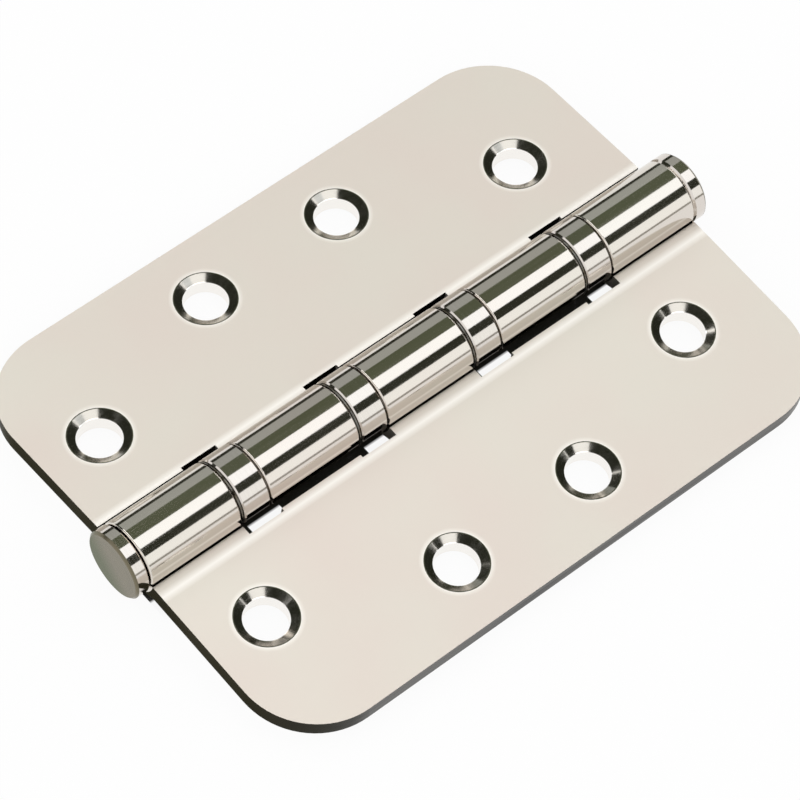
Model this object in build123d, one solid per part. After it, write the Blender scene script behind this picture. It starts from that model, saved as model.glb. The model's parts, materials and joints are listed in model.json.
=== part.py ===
from build123d import *
import math
import os

# Ball bearing butt hinge, open and lying on the undersides of its barrel and leaves.
# X runs along the pin, the jamb leaf reaches towards -Y and the door leaf towards +Y.
# The origin is on the floor below the middle of the pin. All sizes are in millimetres.

# Leaves: steel sheet, with the inner face just below the pin axis
SHEET = 3.0
LEAF_LENGTH = 100.0
LEAF_WIDTH = 37.5
CORNER_RADIUS = 12.0
FACE_BELOW_AXIS = 0.5
EDGE_RADIUS = 0.25

# Swage: the slope that brings the sheet down to the underside of the pin
SWAGE_ANGLE = 20.0
SWAGE_BEND_RADIUS = 1.0
SEAM_GAP = 0.4

# Screw holes: countersunk, two near the barrel and two near the outer edge
HOLE_RADIUS = 3.35
COUNTERSINK_RADIUS = 4.55
COUNTERSINK_ANGLE = 120.0
HOLES_CENTRE_X = -2.0
END_HOLE_SPACING = 76.8
END_HOLE_REACH = 18.4
MIDDLE_HOLE_SPACING = 24.2
MIDDLE_HOLE_REACH = 27.6

# Pin, knuckles and the gaps that the leaves leave round them
PIN_RADIUS = 2.35
PIN_CLEARANCE = 0.05
PIN_TIP_CHAMFER = 0.4
KNUCKLE_COUNT = 5
LEAF_EDGE_GAP = 1.2
NOTCH_DEPTH = 0.5
NOTCH_OVERLAP = 0.8

# Buttons pressed on the ends of the pin
BUTTON_LENGTH = 2.4
BUTTON_GAP = 0.15
BUTTON_BORE_DEPTH = 1.5
BUTTON_CHAMFER = 0.35
BUTTON_PRESS_CLEARANCE = 0.01

# Thrust bearings between the knuckles: the near race of each has a flange beside the shell
BEARING_LENGTH = 5.3
FLANGE_SETBACK = 0.15
FLANGE_THICKNESS = 0.2
FLANGE_DEPTH = 0.12
FLANGE_CLEARANCE = 0.25
SHELL_GAP = 0.2
SHELL_WALL = 0.5
SHELL_CHAMFER = 0.2
SHELL_CLEARANCE = 0.05
BALL_RADIUS = 0.595
BALL_CLEARANCE = 0.04
BALL_COUNT = 8
RACEWAY_ANGLE = 120.0
RACE_GAP = 0.97
CAGE_LENGTH = 0.5
CAGE_CLEARANCE = 0.08

# Sizes that follow from those above
KNUCKLE_BORE_RADIUS = PIN_RADIUS + PIN_CLEARANCE
BARREL_RADIUS = KNUCKLE_BORE_RADIUS + SHEET
LEAF_BACK = FACE_BELOW_AXIS + SHEET
KNUCKLE_LENGTH = (LEAF_LENGTH - (KNUCKLE_COUNT - 1) * BEARING_LENGTH) / KNUCKLE_COUNT
KNUCKLE_PITCH = KNUCKLE_LENGTH + BEARING_LENGTH
LEAF_EDGE_RADIUS = BARREL_RADIUS + LEAF_EDGE_GAP
NOTCH_RADIUS = LEAF_EDGE_RADIUS + NOTCH_DEPTH
RACE_RADIUS = BARREL_RADIUS - SHELL_WALL - SHELL_CLEARANCE
FLANGE_RADIUS = BARREL_RADIUS - FLANGE_DEPTH
FLANGE_GROOVE = FLANGE_SETBACK + FLANGE_THICKNESS + FLANGE_CLEARANCE
BALL_PITCH_RADIUS = (KNUCKLE_BORE_RADIUS + RACE_RADIUS) / 2

# Each leaf droops until its outer edge reaches the floor that the barrel lies on
DROOP = math.degrees(
    math.asin(BARREL_RADIUS / math.hypot(LEAF_WIDTH, LEAF_BACK)) - math.atan2(LEAF_BACK, LEAF_WIDTH)
)
JAMB_KNUCKLES = range(0, KNUCKLE_COUNT, 2)
DOOR_KNUCKLES = range(1, KNUCKLE_COUNT, 2)
PIN_AXIS = Pos(0, 0, BARREL_RADIUS)
ALONG_X = Rot(0, 90, 0)


def knuckle_start(index):
    """Lower X end of a knuckle, counted from the near end of the barrel."""
    return index * KNUCKLE_PITCH - LEAF_LENGTH / 2


def rolled_section():
    """Section of the sheet about the pin axis: flat leaf towards +Y, swaged slope and curl."""
    slope_angle = SWAGE_ANGLE - 90
    slope_to_end = math.degrees(math.acos((KNUCKLE_BORE_RADIUS - SEAM_GAP) / BARREL_RADIUS))
    end_angle = slope_angle + slope_to_end
    curl = 360 - slope_to_end

    def curl_point(radius, angle):
        return Vector(radius, 0).rotate(Axis.Z, angle)

    def swage_corner(radius, depth):
        foot = curl_point(radius, slope_angle)
        run = (-depth - foot.Y) / math.tan(math.radians(SWAGE_ANGLE))
        return Vector(foot.X + run, -depth)

    face_corner = swage_corner(KNUCKLE_BORE_RADIUS, FACE_BELOW_AXIS)
    back_corner = swage_corner(BARREL_RADIUS, LEAF_BACK)
    face_edge = Vector(LEAF_WIDTH, -FACE_BELOW_AXIS)
    back_edge = Vector(LEAF_WIDTH, -LEAF_BACK)
    flat = Polyline(
        curl_point(BARREL_RADIUS, slope_angle), back_corner, back_edge, face_edge, face_corner,
        curl_point(KNUCKLE_BORE_RADIUS, slope_angle),
    )
    bore_curl = CenterArc((0, 0), KNUCKLE_BORE_RADIUS, slope_angle, -curl)
    sheet_end = Line(curl_point(KNUCKLE_BORE_RADIUS, end_angle), curl_point(BARREL_RADIUS, end_angle))
    outer_curl = CenterArc((0, 0), BARREL_RADIUS, end_angle, curl)
    section = make_face(flat + bore_curl + sheet_end + outer_curl)
    for corner, radius in ((face_corner, SWAGE_BEND_RADIUS + SHEET), (back_corner, SWAGE_BEND_RADIUS)):
        section = fillet(section.vertices().sort_by_distance(corner)[:1], radius)
    return section


def clearing_block(start, end, reach):
    """Block that clears the sheet from the far side of the barrel out to a given reach."""
    block = Box(end - start, reach + 2 * BARREL_RADIUS, 4 * BARREL_RADIUS)
    return Pos((start + end) / 2, reach / 2 - BARREL_RADIUS, 0) * block


def countersunk_hole():
    """Cutter for one screw hole, with the leaf's inner face at its zero height."""
    cone_depth = (COUNTERSINK_RADIUS - HOLE_RADIUS) / math.tan(math.radians(COUNTERSINK_ANGLE / 2))
    cone = Cone(HOLE_RADIUS, 2 * COUNTERSINK_RADIUS - HOLE_RADIUS, 2 * cone_depth)
    return Cylinder(HOLE_RADIUS, 4 * SHEET) + cone


def on_barrel(arc):
    """Whether an arc lies on the outside of a knuckle."""
    return math.isclose(arc.radius, BARREL_RADIUS)


def leaf(own_knuckles):
    """One leaf in its own frame, pin axis on X and the flat towards +Y."""
    sheet = extrude(Plane.YZ * rolled_section(), LEAF_LENGTH / 2, both=True)
    for index in range(KNUCKLE_COUNT):
        if index in own_knuckles:
            continue
        start = knuckle_start(index)
        end = start + KNUCKLE_LENGTH
        sheet -= clearing_block(start - BEARING_LENGTH, end + BEARING_LENGTH, LEAF_EDGE_RADIUS)
        if index > 0:
            sheet -= clearing_block(start - BEARING_LENGTH, start + NOTCH_OVERLAP, NOTCH_RADIUS)
        if index < KNUCKLE_COUNT - 1:
            sheet -= clearing_block(end - NOTCH_OVERLAP, end + BEARING_LENGTH, NOTCH_RADIUS)

    outer_corners = sheet.edges().filter_by(Axis.Z).group_by(Axis.Y)[-1]
    sheet = fillet(outer_corners, CORNER_RADIUS)
    inner_face = sheet.faces().filter_by(Axis.Z).group_by(SortBy.AREA)[-1].sort_by(Axis.Z)[-1]
    rim = inner_face.outer_wire().edges().filter_by(lambda edge: edge.center().Y > NOTCH_RADIUS + SHEET)
    curl_ends = sheet.edges().filter_by(GeomType.CIRCLE).filter_by(on_barrel)
    sheet = fillet(rim + curl_ends, EDGE_RADIUS)

    hole = countersunk_hole()
    hole_rows = ((END_HOLE_SPACING, END_HOLE_REACH), (MIDDLE_HOLE_SPACING, MIDDLE_HOLE_REACH))
    for spacing, reach in hole_rows:
        for side in (-1, 1):
            sheet -= Pos(HOLES_CENTRE_X + side * spacing / 2, reach, -FACE_BELOW_AXIS) * hole
    return sheet


def hinge_pin():
    """Plain rod that reaches into both buttons."""
    reach = BUTTON_GAP + BUTTON_BORE_DEPTH
    rod = Cylinder(PIN_RADIUS, LEAF_LENGTH + 2 * reach)
    return ALONG_X * chamfer(rod.edges(), PIN_TIP_CHAMFER)


def end_button(side):
    """Flat button with a blind bore, chamfered at both rims."""
    button = chamfer(Cylinder(BARREL_RADIUS, BUTTON_LENGTH).edges(), BUTTON_CHAMFER)
    bore = Cylinder(PIN_RADIUS + BUTTON_PRESS_CLEARANCE, 2 * BUTTON_BORE_DEPTH)
    button -= Pos(0, 0, -BUTTON_LENGTH / 2) * bore
    middle = LEAF_LENGTH / 2 + BUTTON_GAP + BUTTON_LENGTH / 2
    return Pos(side * middle, 0, 0) * Rot(0, side * 90, 0) * button


def bearing_shell():
    """Outer ring of a bearing, shorter than the bearing by the flange's groove and a running gap."""
    length = BEARING_LENGTH - FLANGE_GROOVE - SHELL_GAP
    shell = chamfer(Cylinder(BARREL_RADIUS, length).edges(), SHELL_CHAMFER)
    shell -= Cylinder(BARREL_RADIUS - SHELL_WALL, length)
    return Pos((FLANGE_GROOVE - SHELL_GAP) / 2, 0, 0) * ALONG_X * shell


def bearing_race(side):
    """Ring against a knuckle with a V-shaped raceway for the balls, flanged at the near end."""
    back, face = BEARING_LENGTH / 2, RACE_GAP / 2
    flank = math.radians(RACEWAY_ANGLE / 2)
    bottom = (BALL_RADIUS + BALL_CLEARANCE) / math.sin(flank)
    half_width = (bottom - face) * math.tan(flank)
    section = Polyline(
        (KNUCKLE_BORE_RADIUS, back), (RACE_RADIUS, back), (RACE_RADIUS, face),
        (BALL_PITCH_RADIUS + half_width, face), (BALL_PITCH_RADIUS, bottom),
        (BALL_PITCH_RADIUS - half_width, face), (KNUCKLE_BORE_RADIUS, face), close=True,
    )
    race = revolve(Plane.XZ * make_face(section), Axis.Z)
    if side < 0:
        flange = Cylinder(FLANGE_RADIUS, FLANGE_THICKNESS) - Cylinder(KNUCKLE_BORE_RADIUS, FLANGE_THICKNESS)
        race += Pos(0, 0, back - FLANGE_SETBACK - FLANGE_THICKNESS / 2) * flange
    return Rot(0, side * 90, 0) * race


def around_pin(piece):
    """Copies of a piece spaced round the ball circle."""
    placed = Pos(BALL_PITCH_RADIUS, 0, 0) * piece
    return [Rot(0, 0, 360 / BALL_COUNT * i) * placed for i in range(BALL_COUNT)]


def ball_cage():
    """Flat ring with a pocket for each ball."""
    cage = Cylinder(RACE_RADIUS - CAGE_CLEARANCE, CAGE_LENGTH)
    cage -= Cylinder(KNUCKLE_BORE_RADIUS + CAGE_CLEARANCE, CAGE_LENGTH)
    cage -= around_pin(Cylinder(BALL_RADIUS + CAGE_CLEARANCE, CAGE_LENGTH))
    return ALONG_X * cage


def bearing_balls():
    """The balls of one bearing."""
    return ALONG_X * Compound(around_pin(Sphere(BALL_RADIUS)))


jamb = mirror(leaf(JAMB_KNUCKLES), about=Plane.XZ)
pieces = {
    "jamb_leaf": PIN_AXIS * Rot(DROOP, 0, 0) * jamb,
    "door_leaf": PIN_AXIS * Rot(-DROOP, 0, 0) * leaf(DOOR_KNUCKLES),
    "hinge_pin": PIN_AXIS * hinge_pin(),
    "near_end_button": PIN_AXIS * end_button(-1),
    "far_end_button": PIN_AXIS * end_button(1),
}
for bearing in range(1, KNUCKLE_COUNT):
    middle = PIN_AXIS * Pos(knuckle_start(bearing) - BEARING_LENGTH / 2, 0, 0)
    door_side = 1 if bearing in DOOR_KNUCKLES else -1
    pieces[f"bearing_shell_{bearing}"] = middle * bearing_shell()
    pieces[f"jamb_race_{bearing}"] = middle * bearing_race(-door_side)
    pieces[f"door_race_{bearing}"] = middle * bearing_race(door_side)
    pieces[f"ball_cage_{bearing}"] = middle * ball_cage()
    pieces[f"bearing_balls_{bearing}"] = middle * bearing_balls()

os.makedirs("parts", exist_ok=True)
for name, piece in pieces.items():
    export_step(piece, f"parts/{name}.step")
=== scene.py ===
import json
import math

import bmesh
import bpy
from mathutils import Matrix, Vector


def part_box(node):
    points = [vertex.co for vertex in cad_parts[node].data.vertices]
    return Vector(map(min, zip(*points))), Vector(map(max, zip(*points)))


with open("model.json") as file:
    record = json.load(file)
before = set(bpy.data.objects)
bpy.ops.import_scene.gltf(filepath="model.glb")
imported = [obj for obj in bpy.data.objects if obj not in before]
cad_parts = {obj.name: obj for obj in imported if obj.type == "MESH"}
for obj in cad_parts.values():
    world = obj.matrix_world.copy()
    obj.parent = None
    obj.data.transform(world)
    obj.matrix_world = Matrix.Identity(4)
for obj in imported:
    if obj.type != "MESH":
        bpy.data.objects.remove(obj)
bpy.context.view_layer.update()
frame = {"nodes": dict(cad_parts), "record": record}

# Hinge pin
# A plain rod of ground steel that all five knuckles turn on. It is held by the buttons on
# its ends, and a film of oil keeps it a little dark.
pin_low, pin_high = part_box("hinge_pin")
pin_axis_height = (pin_low.z + pin_high.z) / 2
pin_line_spacing = 0.00025
pin_dark = (0.27, 0.26, 0.24, 1)
pin_bright = (0.44, 0.43, 0.40, 1)
pin_roughness = (0.42, 0.24)


def add_node(tree, kind, inputs, **settings):
    """A node with its settings made and its inputs given values or linked to other sockets."""
    node = tree.nodes.new(kind)
    for name, value in settings.items():
        setattr(node, name, value)
    for key, value in inputs.items():
        if isinstance(value, bpy.types.NodeSocket):
            tree.links.new(value, node.inputs[key])
        else:
            node.inputs[key].default_value = value
    return node


def calculate(tree, operation, *values):
    """The result of one Math node."""
    return add_node(tree, "ShaderNodeMath", dict(enumerate(values)), operation=operation).outputs[0]


def split_vector(tree, vector):
    """The X, Y and Z of a vector."""
    return add_node(tree, "ShaderNodeSeparateXYZ", {0: vector}).outputs


def spread(tree, value, low, high, start=0.0, end=1.0):
    """A value that runs from low to high while the given one runs from start to end."""
    limits = {"Value": value, "From Min": start, "From Max": end, "To Min": low, "To Max": high}
    return add_node(tree, "ShaderNodeMapRange", limits).outputs["Result"]


def mix_colour(tree, factor, first, second):
    """The colour between two others."""
    return add_node(tree, "ShaderNodeMix", {0: factor, 6: first, 7: second}, data_type="RGBA").outputs[2]


def new_group(name, inputs, outputs):
    """An empty shader node group with named sockets, with its input and output nodes."""
    group = bpy.data.node_groups.new(name, "ShaderNodeTree")
    for socket_name, kind in inputs.items():
        group.interface.new_socket(socket_name, in_out="INPUT", socket_type=kind)
    for socket_name, kind in outputs.items():
        group.interface.new_socket(socket_name, in_out="OUTPUT", socket_type=kind)
    return group, group.nodes.new("NodeGroupInput"), group.nodes.new("NodeGroupOutput")


def use_group(tree, group, inputs):
    """The outputs of a node group that a material uses."""
    return add_node(tree, "ShaderNodeGroup", inputs, node_tree=group).outputs


def new_finish(name):
    """A metal material, with its node tree, its shader and its Object coordinates."""
    material = bpy.data.materials.new(name)
    material.use_nodes = True
    tree = material.node_tree
    shader = tree.nodes["Principled BSDF"]
    shader.inputs["Metallic"].default_value = 1.0
    return material, tree, shader, tree.nodes.new("ShaderNodeTexCoord").outputs["Object"]


def set_surface(tree, shader, colour, roughness):
    """Links a shader's colour and roughness."""
    tree.links.new(colour, shader.inputs["Base Color"])
    tree.links.new(roughness, shader.inputs["Roughness"])


def dress(material, *node_names):
    """Gives a material to pieces of the frame."""
    for node_name in node_names:
        frame["nodes"][node_name].material_slots[0].material = material


# Lines left by turning or grinding: they run round the pin axis, and lie side by side
# along the profile, which the sum of the distances along and from the axis follows
turned_lines, given, made = new_group(
    "turned_lines",
    {"Vector": "NodeSocketVector", "Axis Height": "NodeSocketFloat", "Spacing": "NodeSocketFloat"},
    {"Lines": "NodeSocketFloat"},
)
place = split_vector(turned_lines, given.outputs["Vector"])
height = calculate(turned_lines, "SUBTRACT", place["Z"], given.outputs["Axis Height"])
across_squared = calculate(turned_lines, "POWER", place["Y"], 2.0)
distance_squared = calculate(turned_lines, "MULTIPLY_ADD", height, height, across_squared)
distance = calculate(turned_lines, "SQRT", distance_squared)
profile = calculate(turned_lines, "ADD", place["X"], distance)
lines_passed = calculate(turned_lines, "DIVIDE", profile, given.outputs["Spacing"])
line_noise = add_node(
    turned_lines,
    "ShaderNodeTexNoise",
    {"W": lines_passed, "Scale": 1.0, "Detail": 2.0},
    noise_dimensions="1D",
)
turned_lines.links.new(line_noise.outputs["Fac"], made.inputs["Lines"])


def lines_round_pin(tree, coordinates, spacing):
    """The turned lines of one material."""
    placed = {"Vector": coordinates, "Axis Height": pin_axis_height, "Spacing": spacing}
    return use_group(tree, turned_lines, placed)["Lines"]


ground_steel, tree, shader, coordinates = new_finish("ground_steel")
lines = lines_round_pin(tree, coordinates, pin_line_spacing)
colour = mix_colour(tree, lines, pin_dark, pin_bright)
set_surface(tree, shader, colour, spread(tree, lines, *pin_roughness))
dress(ground_steel, "hinge_pin")

# Ball bearings
# Each bearing has two hardened steel races against the knuckles, eight balls and a stamped
# brass cage between them. All are packed with grease, which lies on them in patches.
bearings = range(1, 5)
race_line_spacing = 0.0002
grease_patch = 0.0012
grease_detail = 3.0
grease_levels = (0.42, 0.62)
grease_cover = 0.6
grease_colour = (0.10, 0.07, 0.025, 1)
race_dark = (0.15, 0.145, 0.13, 1)
race_bright = (0.27, 0.26, 0.24, 1)
race_roughness = (0.36, 0.16)
ball_steel_colour = (0.56, 0.56, 0.55, 1)
ball_roughness = (0.06, 0.2)
cage_dark = (0.42, 0.27, 0.09, 1)
cage_bright = (0.60, 0.41, 0.16, 1)
cage_roughness = (0.34, 0.18)

# Cloudy patches of a given size
clouds, given, made = new_group(
    "clouds",
    {"Vector": "NodeSocketVector", "Patch": "NodeSocketFloat", "Detail": "NodeSocketFloat"},
    {"Clouds": "NodeSocketFloat"},
)
cloud_noise = add_node(
    clouds,
    "ShaderNodeTexNoise",
    {
        "Vector": given.outputs["Vector"],
        "Scale": calculate(clouds, "DIVIDE", 1.0, given.outputs["Patch"]),
        "Detail": given.outputs["Detail"],
    },
)
clouds.links.new(cloud_noise.outputs["Fac"], made.inputs["Clouds"])


def patches_of(tree, coordinates, patch, detail, levels):
    """The patches of one material, which fade in between two levels of the clouds."""
    shape = {"Vector": coordinates, "Patch": patch, "Detail": detail}
    return spread(tree, use_group(tree, clouds, shape)["Clouds"], 0.0, 1.0, *levels)


def greased(tree, coordinates, colour):
    """The grease on one material: the colour with grease over it, and where the grease lies."""
    grease = patches_of(tree, coordinates, grease_patch, grease_detail, grease_levels)
    thinned = calculate(tree, "MULTIPLY", grease, grease_cover)
    return mix_colour(tree, thinned, colour, grease_colour), grease


race_steel, tree, shader, coordinates = new_finish("race_steel")
lines = lines_round_pin(tree, coordinates, race_line_spacing)
colour, grease = greased(tree, coordinates, mix_colour(tree, lines, race_dark, race_bright))
set_surface(tree, shader, colour, spread(tree, grease, *race_roughness))

ball_steel, tree, shader, coordinates = new_finish("ball_steel")
colour, grease = greased(tree, coordinates, ball_steel_colour)
set_surface(tree, shader, colour, spread(tree, grease, *ball_roughness))

cage_brass, tree, shader, coordinates = new_finish("cage_brass")
lines = lines_round_pin(tree, coordinates, race_line_spacing)
colour, grease = greased(tree, coordinates, mix_colour(tree, lines, cage_dark, cage_bright))
set_surface(tree, shader, colour, spread(tree, grease, *cage_roughness))

for bearing in bearings:
    dress(race_steel, f"jamb_race_{bearing}", f"door_race_{bearing}")
    dress(ball_steel, f"bearing_balls_{bearing}")
    dress(cage_brass, f"ball_cage_{bearing}")

# Bearing shells
# Thin turned rings that cover the balls, as wide as the knuckles and nickel plated like
# them. They are buffed after plating, so they mirror their surroundings.
shell_line_spacing = 0.00035
shell_roughness = (0.06, 0.12)
nickel_warm = (0.69, 0.64, 0.59, 1)
nickel_pale = (0.74, 0.695, 0.65, 1)

bright_nickel, tree, shader, coordinates = new_finish("bright_nickel")
lines = lines_round_pin(tree, coordinates, shell_line_spacing)
colour = mix_colour(tree, lines, nickel_warm, nickel_pale)
set_surface(tree, shader, colour, spread(tree, lines, *shell_roughness))
dress(bright_nickel, *[f"bearing_shell_{bearing}" for bearing in bearings])

# Leaves
# Two leaves of nickel-plated steel sheet, each rolled at one edge into knuckles. The flats
# keep a soft satin, the knuckles are burnished by the rolling, and the sheared edges are dull,
# with a near-black colour that is a painted dark reflection.
mounts = {mount["name"]: mount for mount in frame["record"]["mounts"]}
leaf_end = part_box("jamb_leaf")[1].x
end_margin = 0.001
# The barrel lies on the floor, so the pin axis is the barrel's radius above it
knuckle_margin = 0.00025
knuckle_zone = pin_axis_height + knuckle_margin
# The bend radius and width place a painted highlight along each leaf's bend
bend_radius = {"jamb": 0.0077, "door": 0.0070}
bend_width = 0.0010
notch_reach = 0.0085
wall_slant = 0.6
lengthwise_slant = 0.5
countersink_zone = 0.0047
countersink_lip = 0.0054
hole_halo_strength = 0.7
punch_margin = 0.0001
haze_patch = 0.02
shear_patch = 0.025
haze_detail = 2.0
haze_levels = (0.3, 0.7)
streak_length = 0.03
streak_width = 0.0004
streak_detail = 2.0
streak_levels = (0.3, 0.7)
plate_pink = (0.735, 0.668, 0.615, 1)
plate_green = (0.722, 0.685, 0.622, 1)
# A paler plate for painted highlights: along the bend, in a ring round each countersink, and on the hole
# walls
plate_painted_highlight = (0.94, 0.915, 0.875, 1)
# The countersinks' nickel is darker than the flats: painted shade in the recessed cones
countersink_shaded_nickel = (0.51, 0.49, 0.45, 1)
# The sheared walls' near-black colours are a painted dark reflection, varied at random in patches
edge_painted_dark = (0.006, 0.006, 0.004, 1)
edge_painted_grey = (0.06, 0.054, 0.043, 1)
# A darker grazing tint for the walls that face along the pin: painted shade
end_cut_shaded_tint = (0.46, 0.46, 0.43, 1)
plate_slanting = (1, 1, 1, 1)
satin_roughness = (0.54, 0.50)
burnished_roughness = (0.06, 0.12)
reamed_roughness = (0.10, 0.16)
sheared_roughness = (0.22, 0.38)


def calculate_vector(tree, operation, *values):
    """The outputs of one Vector Math node."""
    return add_node(tree, "ShaderNodeVectorMath", dict(enumerate(values)), operation=operation).outputs


def outside(tree, mask):
    """Where a mask is not."""
    return calculate(tree, "SUBTRACT", 1.0, mask)


def mix_value(tree, factor, first, second):
    """The value between two others."""
    return add_node(tree, "ShaderNodeMix", {0: factor, 2: first, 3: second}).outputs[0]


# Where a point lies on a leaf: on the knuckles, along the bend beside them, which carries a
# painted highlight, or on a sheared wall across the sheet. The short walls of the notches, which
# face along the pin, are plated like the flats. Endwise says how far the surface faces along the pin.
leaf_zones, given, made = new_group(
    "leaf_zones",
    {
        "Vector": "NodeSocketVector",
        "Normal": "NodeSocketVector",
        "Face Normal": "NodeSocketVector",
        "Bend Radius": "NodeSocketFloat",
    },
    {
        "Knuckle": "NodeSocketFloat",
        "Bend": "NodeSocketFloat",
        "Wall": "NodeSocketFloat",
        "Endwise": "NodeSocketFloat",
    },
)
point = given.outputs["Vector"]
normal = given.outputs["Normal"]
from_axis = calculate_vector(leaf_zones, "SUBTRACT", point, (0, 0, pin_axis_height))["Vector"]
across_axis = calculate_vector(leaf_zones, "MULTIPLY", from_axis, (0, 1, 1))["Vector"]
radius = calculate_vector(leaf_zones, "LENGTH", across_axis)["Value"]
knuckle = calculate(leaf_zones, "LESS_THAN", radius, knuckle_zone)
past_bend = calculate(leaf_zones, "SUBTRACT", radius, given.outputs["Bend Radius"])
from_bend = calculate(leaf_zones, "ABSOLUTE", past_bend)
bend = spread(leaf_zones, from_bend, 1.0, 0.0, 0.0, bend_width)
facing = calculate_vector(leaf_zones, "DOT_PRODUCT", normal, given.outputs["Face Normal"])["Value"]
upright = calculate(leaf_zones, "LESS_THAN", calculate(leaf_zones, "ABSOLUTE", facing), wall_slant)
endwise = calculate(leaf_zones, "ABSOLUTE", split_vector(leaf_zones, normal)["X"])
lengthwise = calculate(leaf_zones, "LESS_THAN", endwise, lengthwise_slant)
from_middle = calculate(leaf_zones, "ABSOLUTE", split_vector(leaf_zones, point)["X"])
at_end = calculate(leaf_zones, "GREATER_THAN", from_middle, leaf_end - end_margin)
sheared = calculate(leaf_zones, "GREATER_THAN", radius, notch_reach)
for sheared_place in (lengthwise, at_end):
    sheared = calculate(leaf_zones, "MAXIMUM", sheared, sheared_place)
wall = calculate(leaf_zones, "MULTIPLY", upright, sheared)
wall = calculate(leaf_zones, "MULTIPLY", wall, outside(leaf_zones, knuckle))
for zone_name, zone in (("Knuckle", knuckle), ("Bend", bend), ("Wall", wall), ("Endwise", endwise)):
    leaf_zones.links.new(zone, made.inputs[zone_name])


def hole_distance(tree, coordinates, leaf_name, face_normal):
    """How far a point is from the nearest screw hole's axis on a leaf."""
    nearest = None
    for row in ("end", "middle"):
        mount = mounts[f"{leaf_name}_{row}_holes"]
        half_spacing = mount["dims"]["pcd_mm"] / 2000
        for side in (-1, 1):
            centre = Vector(mount["pos_m"]) + Vector((side * half_spacing, 0, 0))
            offset = calculate_vector(tree, "SUBTRACT", coordinates, centre)["Vector"]
            aside = calculate_vector(tree, "CROSS_PRODUCT", offset, face_normal)["Vector"]
            distance = calculate_vector(tree, "LENGTH", aside)["Value"]
            nearest = calculate(tree, "MINIMUM", nearest, distance) if nearest else distance
    return nearest


def leaf_finish(leaf_name):
    """Nickel plate on one leaf, by the zones of that leaf."""
    face_normal = -Vector(mounts[f"{leaf_name}_back"]["axis"])
    hole_radius = mounts[f"{leaf_name}_end_holes"]["dims"]["hole_r_mm"] / 1000
    material, tree, shader, coordinates = new_finish(f"{leaf_name}_leaf_nickel")
    on_leaf = {
        "Vector": coordinates,
        "Normal": coordinates.node.outputs["Normal"],
        "Face Normal": face_normal,
        "Bend Radius": bend_radius[leaf_name],
    }
    zones = use_group(tree, leaf_zones, on_leaf)
    haze = patches_of(tree, coordinates, haze_patch, haze_detail, haze_levels)
    shear = patches_of(tree, coordinates, shear_patch, haze_detail, haze_levels)
    streak_scale = (1 / streak_length, 1 / streak_width, 1 / streak_width)
    streaked = add_node(tree, "ShaderNodeMapping", {"Vector": coordinates, "Scale": streak_scale})
    streak_noise = add_node(
        tree,
        "ShaderNodeTexNoise",
        {"Vector": streaked.outputs["Vector"], "Scale": 1.0, "Detail": streak_detail},
    )
    streaks = streak_noise.outputs["Fac"]
    hole = hole_distance(tree, coordinates, leaf_name, face_normal)
    countersunk = calculate(tree, "LESS_THAN", hole, countersink_zone)
    punched = calculate(tree, "LESS_THAN", hole, hole_radius + punch_margin)
    # Painted highlight: a paler ring round each countersink, the bend beside the knuckles, and the
    # punched hole walls
    beside_hole = spread(tree, hole, hole_halo_strength, 0.0, countersink_zone, countersink_lip)
    hole_halo = calculate(tree, "MULTIPLY", beside_hole, outside(tree, countersunk))
    sheared = calculate(tree, "MULTIPLY", zones["Wall"], outside(tree, countersunk))
    painted_highlight = calculate(tree, "MAXIMUM", calculate(tree, "MAXIMUM", hole_halo, zones["Bend"]), punched)

    plate = mix_colour(tree, haze, plate_pink, plate_green)
    # Painted shade: the countersink cones take the darker nickel
    plate = mix_colour(tree, countersunk, plate, countersink_shaded_nickel)
    plate = mix_colour(tree, painted_highlight, plate, plate_painted_highlight)
    # Painted dark reflection on the sheared walls
    edge = mix_colour(tree, shear, edge_painted_dark, edge_painted_grey)
    satin = spread(tree, haze, *satin_roughness)
    burnished = spread(tree, streaks, *burnished_roughness, *streak_levels)
    reamed = spread(tree, streaks, *reamed_roughness, *streak_levels)
    dull = spread(tree, streaks, *sheared_roughness, *streak_levels)
    roughness = mix_value(tree, zones["Knuckle"], satin, burnished)
    roughness = mix_value(tree, countersunk, roughness, reamed)
    roughness = mix_value(tree, sheared, roughness, dull)
    set_surface(tree, shader, mix_colour(tree, sheared, plate, edge), roughness)
    # Painted shade: the sheared walls that face along the pin get a darker grazing tint
    end_cut = calculate(tree, "MULTIPLY", sheared, zones["Endwise"])
    slanting_with_painted_shade = mix_colour(tree, end_cut, plate_slanting, end_cut_shaded_tint)
    tree.links.new(slanting_with_painted_shade, shader.inputs["Specular Tint"])
    return material


for leaf_name in ("jamb", "door"):
    dress(leaf_finish(leaf_name), f"{leaf_name}_leaf")

# End buttons
# Small turned buttons pressed on the pin's ends, which keep it in the knuckles. Their rims
# are plated and buffed, and the flat ends show the lines of the lathe under a painted reflection:
# dark brown, turning green towards the door leaf and below the axis.
button_line_spacing = 0.0004
button_end_rounding = 0.0004
button_end_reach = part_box("far_end_button")[1].x - button_end_rounding
# The end faces' dark brown and their green are a painted reflection; the lathe lines vary them
button_end_shade_dark = (0.14, 0.127, 0.085, 1)
button_end_shade_light = (0.23, 0.20, 0.14, 1)
button_end_painted_green = (0.085, 0.10, 0.04, 1)
painted_green_reach = (-0.001, 0.0045)
button_rim_roughness = (0.05, 0.12)
button_end_roughness = (0.2, 0.32)

turned_nickel, tree, shader, coordinates = new_finish("turned_nickel")
lines = lines_round_pin(tree, coordinates, button_line_spacing)
place = split_vector(tree, coordinates)
on_end = calculate(tree, "GREATER_THAN", calculate(tree, "ABSOLUTE", place["X"]), button_end_reach)
below_axis = calculate(tree, "SUBTRACT", pin_axis_height, place["Z"])
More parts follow.
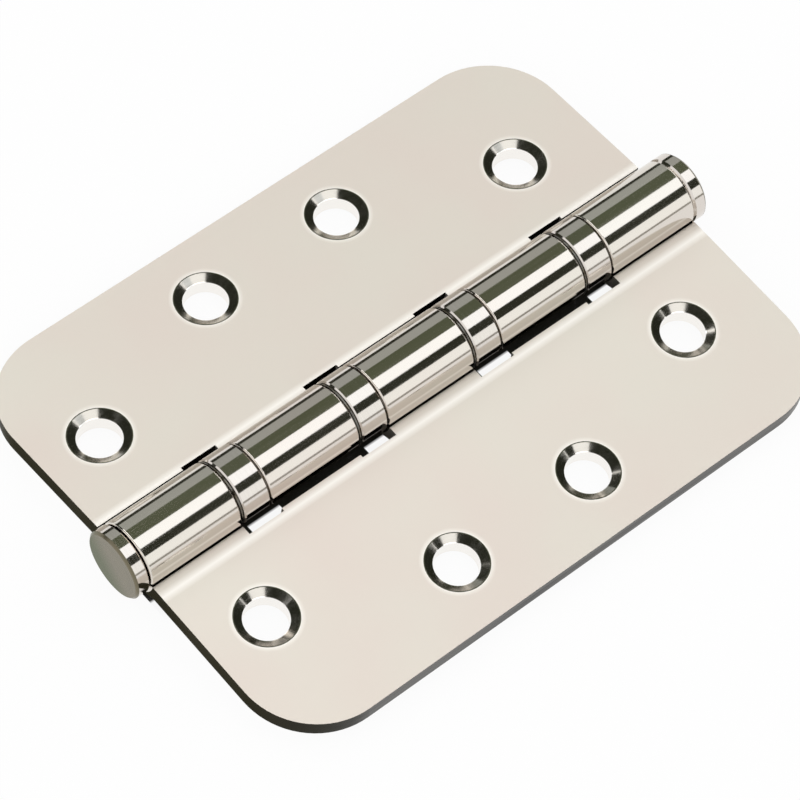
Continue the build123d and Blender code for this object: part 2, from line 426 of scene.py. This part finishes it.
# Painted reflection: green grows across the end face towards the door leaf and below the axis
painted_green_tint = spread(tree, calculate(tree, "ADD", place["Y"], below_axis), 0.0, 1.0, *painted_green_reach)
rim = mix_colour(tree, lines, nickel_warm, nickel_pale)
end = mix_colour(tree, lines, button_end_shade_dark, button_end_shade_light)
end = mix_colour(tree, painted_green_tint, end, button_end_painted_green)
rim_polish = spread(tree, lines, *button_rim_roughness)
end_polish = spread(tree, lines, *button_end_roughness)
polish = mix_value(tree, on_end, rim_polish, end_polish)
set_surface(tree, shader, mix_colour(tree, on_end, rim, end), polish)
dress(turned_nickel, "near_end_button", "far_end_button")

# Studio
# A white floor under an evenly white sky, with far cards round the hinge that only the metal
# mirrors: white soft boxes, and dark and grey flags that give the barrel its bands.
floor_size = 8.0
floor_white = 0.93
floor_paint_white = (0.9, 0.9, 0.9, 1)
# floor_paint_shaded is a painted shadow along the pin; the ranges below set where it and the camera's
# white fade
floor_paint_shaded = (0.03, 0.03, 0.025, 1)
barrel_shadow = (0.0038, 0.0042)
gap_shadow = (0.0050, 0.0054)
mirrored_shadow = (0.007, 0.009)
shadow_reach = 0.012
shadow_samples = 8
open_sky = (0.35, 0.75)
notch_shift = 0.0024
notch_margin = 0.0006
card_distance = 3.0
flag_dark = (0.03, 0.032, 0.022)
flag_grey = (0.41, 0.425, 0.40)
flag_green = (0.10, 0.115, 0.07)
flag_low = (0.35, 0.34, 0.31)
top_white = (1.34, 1.38, 1.41)
side_white = (1.15, 1.17, 1.16)
back_white = (2.1, 2.08, 2.05)
front_white = (1.7, 1.69, 1.68)
# Each card: its first and last angle from straight up towards the jamb leaf, where it starts
# and ends along the pin, how far in front of the others it stands, and its light
barrel_span = (0.8, 1.9)
near_span = (-0.75, 0.8)
near_end_span = (-2.6, -0.75)
cards = {
    "back_flag": (-89.5, -52, -3.0, 4.0, 0.0, flag_dark),
    "horizon_flag": (-89.5, -78, *barrel_span, 0.1, flag_dark),
    "grey_flag": (-78, -43, *barrel_span, 0.1, flag_grey),
    "green_flag": (-43, -5, *barrel_span, 0.1, flag_green),
    "top_box": (-5, 28, *barrel_span, 0.1, top_white),
    "dark_flag": (28, 54, *barrel_span, 0.1, flag_dark),
    "side_box": (54, 83, *barrel_span, 0.1, side_white),
    "low_flag": (83, 89.5, *barrel_span, 0.1, flag_low),
    "near_box": (-60, 10, *near_span, 0.05, back_white),
    "near_front_box": (10, 45, *near_span, 0.05, front_white),
    "far_box": (-66, -5, 1.9, 4.0, 0.05, back_white),
    "far_front_box": (-5, 45, 1.9, 2.3, 0.05, front_white),
    "far_front_flag": (-5, 45, 2.3, 4.0, 0.05, flag_dark),
    "near_back_flag": (-80, -18, *near_end_span, 0.0, flag_dark),
    "near_front_flag": (-18, 45, *near_end_span, 0.0, flag_dark),
}
end_flag_place = 4.05
end_flag_height = 3.2
end_flag_width = 6.0


def stage_sheet(name, matrix):
    """A square sheet of the studio, placed by a matrix."""
    shape = bmesh.new()
    bmesh.ops.create_grid(shape, x_segments=1, y_segments=1, size=0.5, matrix=matrix)
    mesh = bpy.data.meshes.new(name)
    shape.to_mesh(mesh)
    shape.free()
    sheet_object = bpy.data.objects.new(name, mesh)
    bpy.context.scene.collection.objects.link(sheet_object)
    return sheet_object


# The floor is white where the camera or the metal sees it, apart from a strip along the pin
# with a painted shadow: there the floor is painted near-black, the metal sees no white, and the
# camera's white fades out where ambient occlusion finds the ground beside the barrel covered.
# Beside each shell a white patch of painted light stays under the notch.
floor_paint = bpy.data.materials.new("white_floor")
floor_paint.use_nodes = True
tree = floor_paint.node_tree
tree.nodes.remove(tree.nodes["Principled BSDF"])
ray = add_node(tree, "ShaderNodeLightPath", {}).outputs
ground = split_vector(tree, tree.nodes.new("ShaderNodeTexCoord").outputs["Object"])
aside = calculate(tree, "ABSOLUTE", ground["Y"])
past_barrel = calculate(tree, "GREATER_THAN", calculate(tree, "ABSOLUTE", ground["X"]), leaf_end)
covered = add_node(
    tree, "ShaderNodeAmbientOcclusion", {"Distance": shadow_reach}, samples=shadow_samples
)
# Painted shadow: the camera's white fades out beside the barrel where ambient occlusion finds the ground
# covered
clear = calculate(tree, "MAXIMUM", spread(tree, aside, 0.0, 1.0, *gap_shadow), past_barrel)
clear = calculate(tree, "MAXIMUM", clear, spread(tree, covered.outputs["AO"], 0.0, 1.0, *open_sky))
# Painted light: a white patch on the floor beside each shell, shifted along the pin
for bearing in bearings:
    shell_low, shell_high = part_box(f"bearing_shell_{bearing}")
    notch_middle = (shell_low.x + shell_high.x) / 2 + notch_shift
    notch_half = (shell_high.x - shell_low.x) / 2 + notch_margin
    from_notch = calculate(tree, "ABSOLUTE", calculate(tree, "SUBTRACT", ground["X"], notch_middle))
    beside_shell = calculate(tree, "LESS_THAN", from_notch, notch_half)
    painted_notch_light = calculate(tree, "MULTIPLY", beside_shell, spread(tree, aside, 0.0, 1.0, *barrel_shadow))
    clear = calculate(tree, "MAXIMUM", clear, painted_notch_light)
mirrored = calculate(tree, "MAXIMUM", spread(tree, aside, 0.0, 1.0, *mirrored_shadow), past_barrel)
seen = calculate(tree, "MULTIPLY", ray["Is Camera Ray"], clear)
for bounce in ("Is Glossy Ray", "Is Transmission Ray"):
    seen = calculate(tree, "MAXIMUM", seen, calculate(tree, "MULTIPLY", ray[bounce], mirrored))
lit = calculate(tree, "MULTIPLY", seen, floor_white)
# Painted shadow: the floor's own colour is near-black along the pin
paint = mix_colour(tree, mirrored, floor_paint_shaded, floor_paint_white)
matt = add_node(tree, "ShaderNodeBsdfDiffuse", {"Color": paint}).outputs[0]
white = add_node(tree, "ShaderNodeEmission", {"Color": (1, 1, 1, 1), "Strength": 1.0}).outputs[0]
shown = add_node(tree, "ShaderNodeMixShader", {0: lit, 1: matt, 2: white}).outputs[0]
tree.links.new(shown, tree.nodes["Material Output"].inputs["Surface"])
stage_sheet("floor", Matrix.Scale(floor_size, 4)).data.materials.append(floor_paint)


def hang_card(name, matrix, light):
    """A card that glows evenly, and that only mirroring surfaces see."""
    card = stage_sheet(name, matrix)
    paint = bpy.data.materials.new(name)
    paint.use_nodes = True
    tree = paint.node_tree
    tree.nodes.remove(tree.nodes["Principled BSDF"])
    glow = add_node(tree, "ShaderNodeEmission", {"Color": (*light, 1), "Strength": 1.0})
    tree.links.new(glow.outputs[0], tree.nodes["Material Output"].inputs["Surface"])
    card.data.materials.append(paint)
    card.visible_camera = False
    card.visible_diffuse = False
    card.visible_shadow = False


for card_name, (first, last, start, end, forward, light) in cards.items():
    distance = card_distance - forward
    width = 2 * distance * math.tan(math.radians(last - first) / 2)
    hang_card(
        card_name,
        Matrix.Translation((0, 0, pin_axis_height))
        @ Matrix.Rotation(math.radians((first + last) / 2), 4, "X")
        @ Matrix.Translation(((start + end) / 2, 0, distance))
        @ Matrix.Diagonal((end - start, width, 1, 1)),
        light,
    )

# A dark flag stands across the far end of the studio
hang_card(
    "far_end_flag",
    Matrix.Translation((end_flag_place, 0, end_flag_height / 2))
    @ Matrix.Rotation(math.radians(90), 4, "Y")
    @ Matrix.Diagonal((end_flag_height, end_flag_width, 1, 1)),
    flag_dark,
)

sky = bpy.data.worlds.new("white_sky")
sky.use_nodes = True
sky.node_tree.nodes["Background"].inputs["Color"].default_value = (1, 1, 1, 1)
sky.node_tree.nodes["Background"].inputs["Strength"].default_value = 1.0
bpy.context.scene.world = sky
bpy.context.scene.view_settings.view_transform = "Standard"

# Camera
# It looks down on the near end of the barrel, with the jamb leaf towards it, through a long
# lens, so that the leaves' edges stay close to parallel.
camera_place = (-0.23945, -0.22722, 0.50249)
camera_turn = (32.940, -4.037, -40.225)
camera_lens = 190.98
camera_sensor = 36.0

lens = bpy.data.cameras.new("camera")
lens.lens = camera_lens
lens.sensor_width = camera_sensor
camera = bpy.data.objects.new("camera", lens)
camera.location = camera_place
camera.rotation_euler = [math.radians(angle) for angle in camera_turn]
bpy.context.scene.collection.objects.link(camera)
bpy.context.scene.camera = camera
